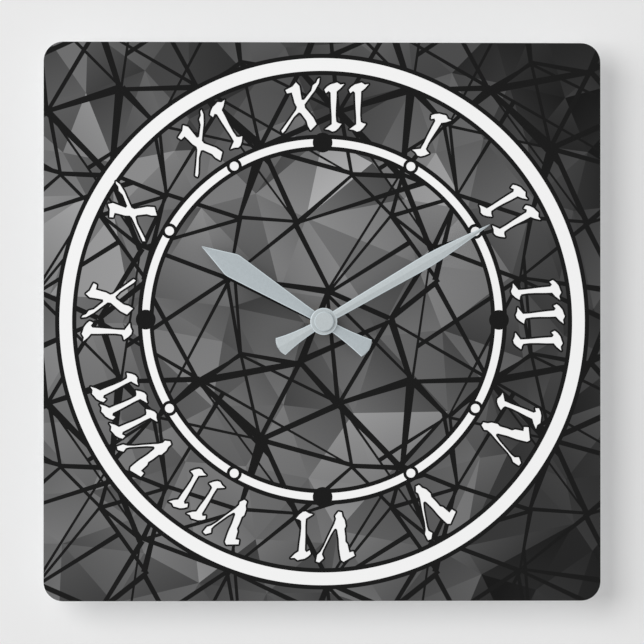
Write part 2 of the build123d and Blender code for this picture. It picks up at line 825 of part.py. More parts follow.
train_piece(
    "rotor_pinion",
    rotor_axis,
    [(intermediate_wheel_level - 0.1, pinion_width, gear_outline(rotor_teeth, rotor_module, 0))],
    [
        (rear_pivot, plate_front + 0.1, pivot_radius),
        (plate_front + 0.1, rotor_boss_end - 0.1, arbor_radius),
        (rotor_boss_end - 0.1, rotor_boss_end + pivot_length, pivot_radius),
    ],
)
train_piece(
    "intermediate_wheel",
    intermediate_axis,
    [
        (
            intermediate_wheel_level,
            wheel_width,
            gear_outline(intermediate_teeth, rotor_module, intermediate_phase),
        ),
        (
            second_wheel_level - 0.1,
            pinion_width,
            gear_outline(intermediate_pinion, second_module, 0),
        ),
    ],
    [
        (rear_pivot, plate_front + 0.1, pivot_radius),
        (plate_front + 0.1, intermediate_boss_end - 0.1, arbor_radius),
        (intermediate_boss_end - 0.1, intermediate_boss_end + pivot_length, pivot_radius),
    ],
)
train_piece(
    "second_wheel",
    centre_axis,
    [
        (
            second_wheel_level,
            wheel_width,
            gear_outline(second_teeth, second_module, second_phase),
        ),
        (third_wheel_level - 0.1, pinion_width, gear_outline(second_pinion, third_module, 0)),
    ],
    [
        (rear_pivot, plate_front + 0.1, pivot_radius),
        (plate_front + 0.1, third_wheel_level, second_arbor_radius),
        (third_wheel_level, second_shaft_end, second_shaft_radius),
    ],
)
train_piece(
    "third_wheel",
    third_axis,
    [
        (
            third_wheel_level,
            wheel_width - 0.1,
            gear_outline(third_teeth, third_module, third_phase),
        ),
        (centre_wheel_level - 0.1, pinion_width, gear_outline(third_pinion, centre_module, 0)),
    ],
    [
        (rear_pivot, plate_front + 0.1, pivot_radius),
        (plate_front + 0.1, third_boss_end - 0.1, third_arbor_radius),
        (third_boss_end - 0.1, third_boss_end + pivot_length, pivot_radius),
    ],
)
train_piece(
    "centre_wheel",
    centre_axis,
    [
        (
            centre_wheel_level,
            wheel_width,
            gear_outline(centre_teeth, centre_module, centre_phase),
        ),
    ],
    [],
    bore=minute_arbor_radius + running_clearance,
)
train_piece(
    "minute_arbor",
    centre_axis,
    [
        (
            motion_wheel_level,
            wheel_width,
            gear_outline(minute_pinion, motion_module, 0),
        ),
    ],
    [(centre_wheel_level - 0.15, minute_arbor_end, minute_arbor_radius)],
    bore=second_shaft_radius + running_clearance,
)
train_piece(
    "motion_wheel",
    motion_axis,
    [
        (
            motion_wheel_level,
            wheel_width - 0.05,
            gear_outline(motion_teeth, motion_module, motion_phase),
        ),
        (
            hour_wheel_level - 0.15,
            pinion_width,
            gear_outline(motion_pinion, hour_module, 0),
        ),
    ],
    [
        (knob_level + knob_floor, motion_wheel_level, motion_arbor_radius),
        (motion_wheel_level, front_wall_level - 0.1, second_arbor_radius),
        (front_wall_level - 0.1, front_wall_level + pivot_length, pivot_radius),
    ],
)
train_piece(
    "hour_wheel",
    centre_axis,
    [(hour_wheel_level, wheel_width, gear_outline(hour_teeth, hour_module, hour_phase))],
    [(hour_wheel_level, hour_blade_level + 1.0, hour_tube_radius)],
    bore=minute_arbor_radius + running_clearance,
)

# ---- setting knob on the rear end of the motion arbor -----------------------
knob_ribs = 24
knob_rib_radius = 0.3
dimple_circle = 3.4
dimple_radius = 0.9
dimple_depth = 0.5

with BuildPart() as setting_knob:
    with BuildSketch(level(knob_level, *motion_axis)):
        Circle(knob_radius)
        with PolarLocations(knob_radius, knob_ribs):
            Circle(knob_rib_radius, mode=Mode.SUBTRACT)
    extrude(amount=knob_thickness)
    with BuildSketch(level(knob_level, *motion_axis)):
        with PolarLocations(dimple_circle, 3):
            Circle(dimple_radius)
    extrude(amount=dimple_depth, mode=Mode.SUBTRACT)
    with BuildSketch(level(knob_level + knob_floor, *motion_axis)):
        Circle(motion_arbor_radius)
    extrude(amount=knob_thickness, mode=Mode.SUBTRACT)
setting_knob.part.label = "setting_knob"
export_step(setting_knob.part, "parts/setting_knob.step")

# ---- hour hand and its collet ------------------------------------------------
hour_hub_radius = hub_radius - 0.4
hour_collet_radius = 3.7
hour_collet_height = 1.0

with BuildPart() as hour_hand:
    with BuildSketch(level(hour_blade_level, angle=hour_hand_angle)):
        with BuildLine():
            blade = Spline((0, 1.9), (26, 3.9), (50, 6.15), (60.5, 4.0), (69.8, 0.25))
            Line(blade @ 1, (69.8, 0))
            tail = Spline((0, 1.9), (-12, 2.75), (-24.8, 4.85))
            ThreePointArc(tail @ 1, (-25.9, 2.6), (-26.3, 0))
            mirror(about=Plane.XZ)
        make_face()
        Circle(hour_hub_radius)
        Circle(hour_tube_radius, mode=Mode.SUBTRACT)
    extrude(amount=hour_blade_thickness)
hour_hand.part.label = "hour_hand"
export_step(hour_hand.part, "parts/hour_hand.step")

with BuildPart() as hour_collet:
    with BuildSketch(level(hour_blade_level - hour_collet_height)):
        Circle(hour_collet_radius)
        Circle(hour_tube_radius, mode=Mode.SUBTRACT)
    extrude(amount=hour_collet_height)
hour_collet.part.label = "hour_collet"
export_step(hour_collet.part, "parts/hour_collet.step")

# ---- minute hand, its hub and the cap ----------------------------------------
minute_collet_radius = 2.6
minute_collet_height = 0.7
cap_round = 0.7

with BuildPart() as minute_hand:
    with BuildSketch(level(minute_blade_level, angle=minute_hand_angle)):
        with BuildLine():
            blade = Spline((0, 1.95), (30, 2.6), (57, 3.25), (80, 1.7), (94.2, 0.2))
            Line(blade @ 1, (94.2, 0))
            tail = Spline((0, 1.95), (-12, 2.6), (-24.4, 4.75))
            ThreePointArc(tail @ 1, (-25.5, 2.6), (-25.9, 0))
            mirror(about=Plane.XZ)
        make_face()
        Circle(hub_radius)
        Circle(minute_arbor_radius, mode=Mode.SUBTRACT)
    extrude(amount=minute_blade_thickness)
minute_hand.part.label = "minute_hand"
export_step(minute_hand.part, "parts/minute_hand.step")

with BuildPart() as minute_collet:
    with BuildSketch(level(minute_blade_level - minute_collet_height)):
        Circle(minute_collet_radius)
        Circle(minute_arbor_radius, mode=Mode.SUBTRACT)
    extrude(amount=minute_collet_height)
minute_collet.part.label = "minute_collet"
export_step(minute_collet.part, "parts/minute_collet.step")

cap_level = minute_blade_level + minute_blade_thickness

with BuildPart() as centre_cap:
    with BuildSketch(level(cap_level)):
        Circle(cap_radius)
    extrude(amount=cap_height)
    fillet(centre_cap.edges().group_by(Axis.Y)[0], radius=cap_round)
    with BuildSketch(level(cap_level)):
        Circle(minute_arbor_radius)
    extrude(amount=minute_arbor_end - cap_level, mode=Mode.SUBTRACT)
centre_cap.part.label = "centre_cap"
export_step(centre_cap.part, "parts/centre_cap.step")
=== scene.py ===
"""Looks of a square acrylic wall clock: printed face, painted hands, quartz movement behind."""

import json
import math
import random

import bmesh
import bpy
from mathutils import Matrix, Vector
from mathutils.geometry import delaunay_2d_cdt


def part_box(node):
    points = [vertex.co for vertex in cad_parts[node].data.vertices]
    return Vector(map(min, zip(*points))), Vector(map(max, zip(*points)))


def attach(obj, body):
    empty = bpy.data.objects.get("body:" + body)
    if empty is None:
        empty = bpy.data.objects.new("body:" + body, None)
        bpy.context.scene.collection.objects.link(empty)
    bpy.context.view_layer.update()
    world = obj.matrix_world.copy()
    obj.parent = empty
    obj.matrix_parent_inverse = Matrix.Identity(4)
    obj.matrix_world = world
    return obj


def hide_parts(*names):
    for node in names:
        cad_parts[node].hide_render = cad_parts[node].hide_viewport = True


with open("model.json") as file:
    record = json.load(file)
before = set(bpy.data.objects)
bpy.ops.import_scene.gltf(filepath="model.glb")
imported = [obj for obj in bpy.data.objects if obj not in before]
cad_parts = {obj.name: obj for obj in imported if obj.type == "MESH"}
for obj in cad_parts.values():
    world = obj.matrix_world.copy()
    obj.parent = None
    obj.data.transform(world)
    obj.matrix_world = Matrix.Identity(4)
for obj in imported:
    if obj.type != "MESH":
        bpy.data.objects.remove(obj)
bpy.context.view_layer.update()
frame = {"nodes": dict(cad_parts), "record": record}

MM = 0.001


# ---- small helpers ----------------------------------------------------------
def in_mm(node):
    """Lowest and highest corners of a CAD node, in millimetres."""
    low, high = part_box(node)
    return low / MM, high / MM


def add_mesh(name, verts, faces):
    """New object from points in millimetres."""
    mesh = bpy.data.meshes.new(name)
    mesh.from_pydata([Vector(v) * MM for v in verts], [], faces)
    mesh.update()
    obj = bpy.data.objects.new(name, mesh)
    bpy.context.scene.collection.objects.link(obj)
    return obj


def outward_normals(obj):
    """Makes the faces of a closed mesh point outwards."""
    bm = bmesh.new()
    bm.from_mesh(obj.data)
    bmesh.ops.recalc_face_normals(bm, faces=bm.faces)
    bm.to_mesh(obj.data)
    bm.free()


def polar(radius, degrees):
    """Point across and up, at an angle anticlockwise from three o'clock."""
    turn = math.radians(degrees)
    return radius * math.cos(turn), radius * math.sin(turn)


def dial_point(radius, clock_degrees, centre=(0.0, 0.0)):
    """Point on the dial, at an angle clockwise from twelve o'clock."""
    x, z = polar(radius, 90 - clock_degrees)
    return centre[0] + x, centre[1] + z


# ---- materials ---------------------------------------------------------------
# Values of a noise between which the roughness and the colour change, and how far the
# roughness goes to either side, as a share of it.
ROUGHNESS_SPAN = (0.3, 0.7)
COLOUR_SPAN = (0.35, 0.65)
ROUGHNESS_SPREAD = 0.15


def shader(name, color, roughness, metallic=0.0, coat=0.0, specular=0.5):
    """Principled material, with its nodes and links returned for more detail."""
    mat = bpy.data.materials.new(name)
    mat.use_nodes = True
    nodes, links = mat.node_tree.nodes, mat.node_tree.links
    bsdf = nodes["Principled BSDF"]
    bsdf.inputs["Base Color"].default_value = (*color, 1)
    bsdf.inputs["Roughness"].default_value = roughness
    bsdf.inputs["Metallic"].default_value = metallic
    bsdf.inputs["Coat Weight"].default_value = coat
    bsdf.inputs["Specular IOR Level"].default_value = specular
    return mat, nodes, links, bsdf


def noise(nodes, links, scale, detail=3.0, stretch=(1, 1, 1)):
    """Noise over object coordinates, in features per metre."""
    coords = nodes.new("ShaderNodeTexCoord")
    mapping = nodes.new("ShaderNodeMapping")
    mapping.inputs["Scale"].default_value = stretch
    links.new(coords.outputs["Object"], mapping.inputs["Vector"])
    tex = nodes.new("ShaderNodeTexNoise")
    tex.inputs["Scale"].default_value = scale
    tex.inputs["Detail"].default_value = detail
    links.new(mapping.outputs["Vector"], tex.inputs["Vector"])
    return tex


def mottle(nodes, links, bsdf, source, dark, light):
    """Drives the base colour between two colours with a noise."""
    blend = nodes.new("ShaderNodeValToRGB")
    for element, place, color in zip(blend.color_ramp.elements, COLOUR_SPAN, (dark, light)):
        element.position = place
        element.color = (*color, 1)
    links.new(source.outputs["Fac"], blend.inputs["Fac"])
    links.new(blend.outputs["Color"], bsdf.inputs["Base Color"])


def roughen(nodes, links, bsdf, source, low, high):
    """Drives the roughness between two values with a noise."""
    spread = nodes.new("ShaderNodeMapRange")
    spread.inputs["From Min"].default_value = ROUGHNESS_SPAN[0]
    spread.inputs["From Max"].default_value = ROUGHNESS_SPAN[1]
    spread.inputs["To Min"].default_value = low
    spread.inputs["To Max"].default_value = high
    links.new(source.outputs["Fac"], spread.inputs["Value"])
    links.new(spread.outputs["Result"], bsdf.inputs["Roughness"])


def bump(nodes, links, bsdf, source, distance):
    """Surface relief from a noise, with its height in metres."""
    node = nodes.new("ShaderNodeBump")
    node.inputs["Distance"].default_value = distance
    node.inputs["Strength"].default_value = 1.0
    links.new(source.outputs["Fac"], node.inputs["Height"])
    links.new(node.outputs["Normal"], bsdf.inputs["Normal"])


def shade(color, factor):
    """The same colour, darker or lighter."""
    return tuple(channel * factor for channel in color)


def grey(value):
    """Colour with three equal channels."""
    return value, value, value


def textured(name, color, roughness, contrast, grain, relief, stretch=(1, 1, 1), **rest):
    """Material with mottled colour, uneven roughness and a fine relief, in metres."""
    mat, nodes, links, bsdf = shader(name, color, roughness, **rest)
    tex = noise(nodes, links, grain, stretch=stretch)
    mottle(nodes, links, bsdf, tex, shade(color, 1 - contrast), shade(color, 1 + contrast))
    smoothest, roughest = roughness * (1 - ROUGHNESS_SPREAD), roughness * (1 + ROUGHNESS_SPREAD)
    roughen(nodes, links, bsdf, tex, smoothest, min(1.0, roughest))
    bump(nodes, links, bsdf, tex, relief)
    return mat


def facet_ink():
    """Grey ink whose tone is stored on the corners of each facet."""
    darkest, lightest = 0.93, 1.07
    mat, nodes, links, bsdf = shader("ink_facets", grey(0.12), roughness=0.42, specular=0.1)
    tone = nodes.new("ShaderNodeVertexColor")
    tone.layer_name = "tone"
    grain = noise(nodes, links, scale=2600, detail=2)
    soften = nodes.new("ShaderNodeMapRange")
    soften.inputs["To Min"].default_value = darkest
    soften.inputs["To Max"].default_value = lightest
    mix = nodes.new("ShaderNodeMix")
    mix.data_type = "RGBA"
    mix.blend_type = "MULTIPLY"
    mix.inputs["Factor"].default_value = 1.0
    links.new(grain.outputs["Fac"], soften.inputs["Value"])
    links.new(tone.outputs["Color"], mix.inputs["A"])
    links.new(soften.outputs["Result"], mix.inputs["B"])
    links.new(mix.outputs["Result"], bsdf.inputs["Base Color"])
    roughen(nodes, links, bsdf, grain, low=0.38, high=0.46)
    return mat


def stepped_ramp(nodes, stops):
    """Colour ramp without blending, from places between 0 and 1 and their colours."""
    node = nodes.new("ShaderNodeValToRGB")
    node.color_ramp.interpolation = "CONSTANT"
    elements = node.color_ramp.elements
    for index, (place, color) in enumerate(stops):
        element = elements[index] if index < len(elements) else elements.new(place)
        element.position = place
        element.color = (*color, 1)
    return node


def battery_jacket():
    """Printed jacket in plain bands along the cell, with bare metal at both ends."""
    blue, pale, steel = (0.05, 0.16, 0.30), (0.78, 0.78, 0.76), (0.62, 0.62, 0.60)
    metal, ink = grey(1), grey(0)
    base_end, line_start, line_end, pale_start, button_start = 0.03, 0.30, 0.32, 0.74, 0.95
    mat, nodes, links, bsdf = shader("battery_jacket", blue, roughness=0.32, coat=0.3)
    low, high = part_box("aa_battery")
    coords = nodes.new("ShaderNodeTexCoord")
    axes = nodes.new("ShaderNodeSeparateXYZ")
    along = nodes.new("ShaderNodeMapRange")
    along.inputs["From Min"].default_value = low.x
    along.inputs["From Max"].default_value = high.x
    bands = stepped_ramp(nodes, (
        (0.0, steel), (base_end, blue), (line_start, pale),
        (line_end, blue), (pale_start, pale), (button_start, steel),
    ))
    bare = stepped_ramp(nodes, ((0.0, metal), (base_end, ink), (button_start, metal)))
    links.new(coords.outputs["Object"], axes.inputs["Vector"])
    links.new(axes.outputs["X"], along.inputs["Value"])
    links.new(along.outputs["Result"], bands.inputs["Fac"])
    links.new(along.outputs["Result"], bare.inputs["Fac"])
    links.new(bands.outputs["Color"], bsdf.inputs["Base Color"])
    links.new(bare.outputs["Color"], bsdf.inputs["Metallic"])
    roughen(nodes, links, bsdf, noise(nodes, links, scale=900), low=0.26, high=0.38)
    return mat


def copper_winding():
    """Fine turns of enamelled wire across the coil."""
    dark, middle, light = (0.38, 0.13, 0.045), (0.55, 0.22, 0.08), (0.66, 0.30, 0.12)
    bands_per_metre, unevenness = 1000, 0.4
    mat, nodes, links, bsdf = shader("copper_winding", middle, roughness=0.3, metallic=0.8)
    coords = nodes.new("ShaderNodeTexCoord")
    turns = nodes.new("ShaderNodeTexWave")
    turns.bands_direction = "X"
    turns.inputs["Scale"].default_value = bands_per_metre
    turns.inputs["Distortion"].default_value = unevenness
    links.new(coords.outputs["Object"], turns.inputs["Vector"])
    mottle(nodes, links, bsdf, turns, dark, light)
    bump(nodes, links, bsdf, turns, distance=4e-5)
    return mat


# The minute hand and the cap, nearer the front, are the hour hand's paint made lighter: a painted
# highlight, a lit copy of one paint.
HAND_COLOR = (0.43, 0.48, 0.505)
LIT_HAND_COLOR = (0.495, 0.54, 0.555)
# How much lighter the bevels are painted: a painted highlight for the light they catch.
EDGE_GLINT = 1.4

# Material of each slot of the record, and of the inks and paints.
MATERIALS = {
    "acrylic": textured(
        "acrylic_sheet", (0.74, 0.75, 0.76), 0.12, contrast=0.02, grain=300, relief=2e-6, coat=0.4
    ),
    "ink_facets": facet_ink(),
    "ink_black": textured(
        "ink_black", grey(0.008), 0.45, contrast=0.08, grain=2400, relief=2e-6, specular=0.08
    ),
    "ink_white": textured(
        "ink_white", grey(0.92), 0.5, contrast=0.01, grain=2400, relief=2e-6, specular=0.1
    ),
    "hand_paint": textured(
        "hand_paint", HAND_COLOR, 0.38, contrast=0.03, grain=1400, relief=3e-6, specular=0.4
    ),
    # Painted highlight: the same hand paint, lighter, for the minute hand and the cap.
    "lit_hand_paint": textured(
        "lit_hand_paint", LIT_HAND_COLOR, 0.38, contrast=0.03, grain=1400, relief=3e-6, specular=0.4
    ),
    # Painted highlight: the hand paint made lighter, for the bevels of the hands and the cap.
    "hand_edge_highlight": textured(
        "hand_edge_highlight", shade(HAND_COLOR, EDGE_GLINT), 0.34, contrast=0.03, grain=1400, relief=2e-6
    ),
    "black_rubber": textured(
        "gasket_rubber", grey(0.018), 0.85, contrast=0.15, grain=1600, relief=3e-5
    ),
    "brass_hardware": textured(
        "turned_brass", (0.78, 0.56, 0.24), 0.28, contrast=0.06, grain=700, relief=4e-6,
        stretch=(1, 6, 1), metallic=1.0,
    ),
    "zinc_steel": textured(
        "zinc_plated_steel", (0.66, 0.67, 0.66), 0.36, contrast=0.08, grain=420, relief=6e-6,
        stretch=(5, 1, 1), metallic=1.0,
    ),
    "black_housing": textured(
        "moulded_housing", (0.022, 0.022, 0.023), 0.5, contrast=0.14, grain=2200, relief=1.6e-5
    ),
    "white_pom": textured(
        "acetal_gears", (0.78, 0.77, 0.72), 0.42, contrast=0.03, grain=1200, relief=4e-6
    ),
    "battery_jacket": battery_jacket(),
    "nickel_strip": textured(
        "nickel_strip", (0.70, 0.67, 0.60), 0.26, contrast=0.06, grain=600, relief=4e-6,
        stretch=(1, 1, 6), metallic=1.0,
    ),
    "board_laminate": textured(
        "board_laminate", (0.33, 0.20, 0.07), 0.5, contrast=0.12, grain=900, relief=6e-6,
        stretch=(1, 1, 4),
    ),
    "black_epoxy": textured(
        "chip_epoxy", grey(0.016), 0.35, contrast=0.12, grain=1800, relief=1e-5
    ),
    "amber_bobbin": textured(
        "bobbin_nylon", (0.52, 0.27, 0.06), 0.4, contrast=0.06, grain=900, relief=5e-6
    ),
    "copper_wire": copper_winding(),
    "core_steel": textured(
        "core_steel", (0.42, 0.42, 0.43), 0.42, contrast=0.08, grain=800, relief=5e-6,
        stretch=(6, 1, 1), metallic=1.0,
    ),
    "magnet": textured(
        "sintered_magnet", (0.16, 0.16, 0.17), 0.48, contrast=0.12, grain=1500, relief=1e-5,
        metallic=0.8,
    ),
    "grey_knob": textured(
        "knob_plastic", (0.26, 0.26, 0.27), 0.48, contrast=0.08, grain=1600, relief=8e-6
    ),
}


# ---- printed face --------------------------------------------------------------
# Radii, steps and places are in millimetres. A ring's bands are (outer, inner) radii.
PANEL_LOW, PANEL_HIGH = in_mm("dial_print")
PANEL_SIDE = PANEL_HIGH.x - PANEL_LOW.x
PANEL_CORNER = 9.5
INK_FRONT = PANEL_LOW.y
INK_DEPTH = PANEL_HIGH.y - PANEL_LOW.y
DIAL_HOLE = 4.2

OUTER_RING = (0.0, 0.0)
INNER_RING = (0.0, 0.9)
OUTER_BANDS = {"rim": (130.9, 120.5), "white": (128.8, 122.6)}
INNER_BANDS = {"rim": (90.5, 82.7), "white": (88.4, 84.75)}
MARK_RADIUS = 86.6
QUARTER_DOT = 4.85
HOUR_DOT_RIM = 3.7
HOUR_DOT = 2.2
GLYPH_RIM = 0.92

# A numeral that is less than full height narrows by this much less.
GLYPH_WIDENING = 0.02

# Length of the sides of a round outline, and the fewest sides that one has.
RING_STEP = 2.0
QUARTER_DOT_STEP = 0.6
HOUR_RIM_STEP = 0.5
HOUR_DOT_STEP = 0.4
FEWEST_SIDES = 24
CORNER_STEPS = 10
RIM_JOINT_SIDES = 8

# Outlines of the rough-hewn numerals, upright, x across and y from the foot up.
GLYPH_I = (
    (-4.7, 21.0), (-4.0, 19.3), (-2.6, 20.4), (-1.6, 19.5), (-1.5, 15.5), (-1.3, 11.5),
    (-1.0, 7.0), (-1.0, 3.4), (-2.4, 2.4), (-4.4, 0.9), (-2.4, 0.6), (-0.7, -0.3),
    (0.8, 0.1), (2.3, 1.5), (3.8, 3.6), (2.2, 4.0), (1.2, 4.7), (0.9, 8.0), (1.0, 12.0),
    (1.3, 16.5), (1.4, 20.2), (3.2, 21.6), (5.2, 23.9), (3.3, 23.6), (1.6, 24.7),
    (0.2, 24.2), (-1.7, 23.7), (-3.5, 22.4),
)
GLYPH_V = (
    (-10.0, 20.6), (-9.0, 18.6), (-7.2, 19.4), (-6.4, 17.2), (-5.8, 15.4), (-4.6, 14.2),
    (-4.2, 11.5), (-3.3, 7.9), (-3.8, 6.4), (-2.9, 3.4), (-1.6, 1.8), (-1.0, -0.2),
    (0.6, -0.3), (1.9, 2.0), (1.3, 3.4), (1.8, 6.0), (2.8, 8.8), (4.4, 13.6), (5.6, 17.6),
    (7.0, 20.8), (8.4, 22.6), (8.6, 25.9), (7.0, 26.2), (5.1, 23.9), (6.2, 22.0),
    (5.9, 20.0), (4.6, 16.2), (3.0, 11.6), (1.6, 8.6), (0.8, 8.2), (0.1, 8.8),
    (-1.2, 13.4), (-2.0, 18.0), (-2.8, 21.0), (-3.6, 23.6), (-4.9, 24.4), (-6.6, 23.1),
)
GLYPH_X = (
    (-7.4, 20.6), (-6.6, 19.0), (-4.3, 19.5), (-3.5, 16.8), (-2.9, 14.4), (-1.8, 12.4),
    (-2.1, 11.0), (-6.0, 5.4), (-9.4, 0.7), (-8.8, -0.4), (-7.6, 0.8), (-3.4, 7.4),
    (-0.9, 9.8), (0.2, 9.4), (3.0, 5.6), (3.6, 3.2), (4.9, 1.0), (7.8, 4.0), (6.2, 7.2),
    (2.1, 12.0), (1.9, 13.6), (5.0, 17.9), (6.9, 20.4), (9.0, 24.2), (9.3, 26.6),
    (8.4, 26.0), (7.7, 24.3), (6.0, 23.0), (5.3, 20.4), (1.7, 15.8), (0.5, 15.9),
    (0.0, 18.8), (-0.6, 22.6), (-2.3, 24.4), (-3.9, 22.4),
)
GLYPHS = {"I": GLYPH_I, "V": GLYPH_V, "X": GLYPH_X}

# For each hour: letter, offset across, radius of its foot, tilt in degrees, height.
NUMERALS = {
    12: (("X", -10.8, 92.5, 0, 1.0), ("I", 5.5, 93.2, 0, 0.96), ("I", 17.5, 93.2, 0, 0.96)),
    1: (("I", 0.4, 94.0, 0, 0.96),),
    2: (("I", -6.7, 94.3, 0, 0.96), ("I", 5.2, 94.8, 0, 0.96)),
    3: (("I", -14.3, 92.9, -4, 0.98), ("I", -2.6, 95.2, -4, 0.96), ("I", 9.8, 93.9, -2, 0.97)),
    4: (("I", -9.7, 93.6, -6, 0.96), ("V", 4.2, 93.2, 0, 0.98)),
    5: (("V", 0.0, 93.0, 0, 0.98),),
    6: (("V", -8.3, 93.3, 7, 0.97), ("I", 9.0, 93.0, 4, 0.96)),
    7: (("V", -10.9, 94.9, 5, 0.93), ("I", 4.9, 93.2, 3, 0.9), ("I", 15.8, 92.5, 2, 0.9)),
    8: (("V", -13.9, 94.3, 7, 0.95), ("I", 2.2, 93.3, 5, 0.94), ("I", 12.6, 93.0, 5, 0.93),
        ("I", 22.3, 92.6, 5, 0.93)),
    9: (("-I", -5.3, 93.6, 2, 0.98), ("-X", 11.2, 91.9, 0, 0.98)),
    10: (("X", -0.7, 95.2, 0, 1.0),),
    11: (("X", -9.0, 92.2, 0, 1.02), ("I", 7.4, 94.6, 0, 0.97)),
}

# The background repeats every TILE. Junctions of one tile: place from the dial's
# centre, and the width of the strokes that leave it.
TILE = 142.6
TILES_EACH_WAY = 2
JUNCTIONS = (
    (-41, 50, 2.2), (-13, 48, 3.6), (14, 72, 2.1), (34, 52, 2.5), (54, 36, 2.9),
    (66, 62, 2.5), (3, 14, 3.8), (33, 1, 3.6), (56, 20, 4.8), (44, -29, 4.8),
    (8, -40, 3.4), (-11, -20, 3.2), (-30, -57, 5.6), (-61, -29, 3.4), (-40, -16, 1.9),
    (38, -71, 2.9), (-46, 21, 2.0), (62, -46, 2.1),
)
PATTERN_SEED = 57

# How far the ends of a stroke stray from a junction, and how far outside the panel a
# stroke may lie and still be drawn.
SLACK = 1.0
PANEL_MARGIN = 1.0

# Strokes to the nearest junctions. Their widths are shares of the junctions' widths.
NEAR_LINKS = 5
NEAR_CHANCE = 0.78
NEAR_START = (0.6, 1.1)
NEAR_END = (0.5, 0.95)
WIDEST_END = 3.0

# One longer stroke from every junction, whose start is a share of the junction's width,
# and from most a thin far one.
LONG_REACH = (34, 56)
LONG_START = (0.5, 0.9)
LONG_END = (1.0, 2.0)
FAR_CHANCE = 0.8
FAR_REACH = (48, 88)
FAR_WIDTH = (0.9, 1.9)

# Branches that leave a stroke part of the way along it, turned by an angle in radians.
BRANCHES = 9
BRANCH_PLACE = (0.15, 0.9)
BRANCH_TURN = (0.45, 1.5)
BRANCH_REACH = (34, 66)
BRANCH_START = (1.4, 3.0)
BRANCH_END = (1.0, 2.2)

# Facets: spacing and jitter of their corners, spread of their tones as a share of the
# tone, greatest change of tone per millimetre within one, and strength of its blue.
FACET_SEED = 11
FACET_PITCH = 31.0
FACET_JITTER = 13.0
FACET_CONTRAST = 0.17
FACET_SLOPE = 0.8
DARKEST_FACET = 16.0
BLUE_SHARE = 1.01

# Tone of the background, as a display value: a middle grey with soft round lobes
# (centre, spread, change), that falls off towards the edges (direction, start, end, fall).
MIDDLE_TONE = 104.0
DARKEST_TONE = 34.0
TONE_LOBES = (
    ((-118, 58), (34, 50), 24), ((26, 56), (46, 34), 24), ((20, -88), (60, 26), 14),
    ((-20, -30), (48, 40), -14), ((-60, 100), (50, 26), -16),
)
TONE_FALLS = (
    ((1, 0), 58, 108, 44), ((0, 1), 84, 132, 26), ((0, -1), 104, 134, 32),
    ((1, 1), 170, 225, 26), ((1, -1), 150, 230, 19),
)

INKS = ("ink_facets", "ink_black", "ink_white")
MERGE_DISTANCE = 1e-4


def circle(centre, radius, step=RING_STEP):
    """Closed circle as a list of points, one about every `step` millimetres."""
    count = max(FEWEST_SIDES, int(2 * math.pi * radius / step))
    return [dial_point(radius, 360 * i / count, centre) for i in range(count)]


def rounded_square(side, corner, steps=CORNER_STEPS):
    """Closed outline of a square with rounded corners."""
    reach = side / 2 - corner
    points = []
    for turn, (sx, sz) in enumerate(((1, 1), (-1, 1), (-1, -1), (1, -1))):
        for step in range(steps + 1):
            x, z = polar(corner, 90 * turn + 90 * step / steps)
            points.append((sx * reach + x, sz * reach + z))
    return points


def stroke_outline(x0, z0, x1, z1, w0, w1):
    """Tapered bar between two points."""
    along = Vector((x1 - x0, z1 - z0)).normalized()
    side = Vector((-along.y, along.x))
    start, end = Vector((x0, z0)), Vector((x1, z1))
    return [
        start + side * w0 / 2, start - side * w0 / 2,
        end - side * w1 / 2, end + side * w1 / 2,
    ]


def glyph_outline(letter, offset, foot, tilt, height, hour):
    """Outline of one letter in its place on the dial, top outwards. A minus mirrors it."""
    mirrored = -1 if letter.startswith("-") else 1
    turn = math.radians(tilt)
    outward = math.radians(90 - 30 * hour)
    points = []
    for x, y in GLYPHS[letter[-1]]:
        x, y = mirrored * x * min(1.0, height + GLYPH_WIDENING), y * height
        across = offset + x * math.cos(turn) + y * math.sin(turn)
        radius = foot + y * math.cos(turn) - x * math.sin(turn)
        points.append((
            radius * math.cos(outward) + across * math.sin(outward),
            radius * math.sin(outward) - across * math.cos(outward),
        ))
    return points


def circle_joint(centre, radius):
    """Small round outline where two bars meet."""
    turn = 360 / RIM_JOINT_SIDES
    return [dial_point(radius, turn * corner, centre) for corner in range(RIM_JOINT_SIDES)]


def edge_band(points, width):
    """Bars and round joints that follow a closed outline, as separate pieces."""
    pieces = []
    for index, point in enumerate(points):
        following = points[(index + 1) % len(points)]
        pieces.append(stroke_outline(*point, *following, 2 * width, 2 * width))
        pieces.append(circle_joint(point, width))
    return pieces


def glow(x, z, centre, spread):
    """Height of a soft round lobe, from 0 far away to 1 at its centre."""
    dx, dz = (x - centre[0]) / spread[0], (z - centre[1]) / spread[1]
    return math.exp(-dx * dx - dz * dz)


def smooth_step(value, low, high):
    """Smooth step from 0 at low to 1 at high."""
    t = min(1.0, max(0.0, (value - low) / (high - low)))
    return t * t * (3 - 2 * t)


def tone_field(x, z):
    """Tone of the background, as a display value from 0 to 255."""
    tone = MIDDLE_TONE
    for centre, spread, change in TONE_LOBES:
        tone += change * glow(x, z, centre, spread)
    for (across, up), start, end, fall in TONE_FALLS:
        tone -= fall * smooth_step(across * x + up * z, start, end)
    return max(DARKEST_TONE, tone)


def to_linear(display):
    """Linear reflectance of a display value, by the sRGB curve."""
    value = display / 255
    return value / 12.92 if value < 0.04045 else ((value + 0.055) / 1.055) ** 2.4


def facet_corners(rng):
    """Jittered grid of points, past the panel's edges, whose triangles are the facets."""
    reach = PANEL_SIDE / 2 + FACET_PITCH
    count = int(2 * reach / FACET_PITCH) + 1
    corners = []
    for row in range(count):
        for column in range(count):
            shift = FACET_PITCH / 2 if row % 2 else 0
            x = -reach + column * FACET_PITCH + shift + rng.uniform(-FACET_JITTER, FACET_JITTER)
            z = -reach + row * FACET_PITCH + rng.uniform(-FACET_JITTER, FACET_JITTER)
            corners.append(Vector((x, z)))
    return corners


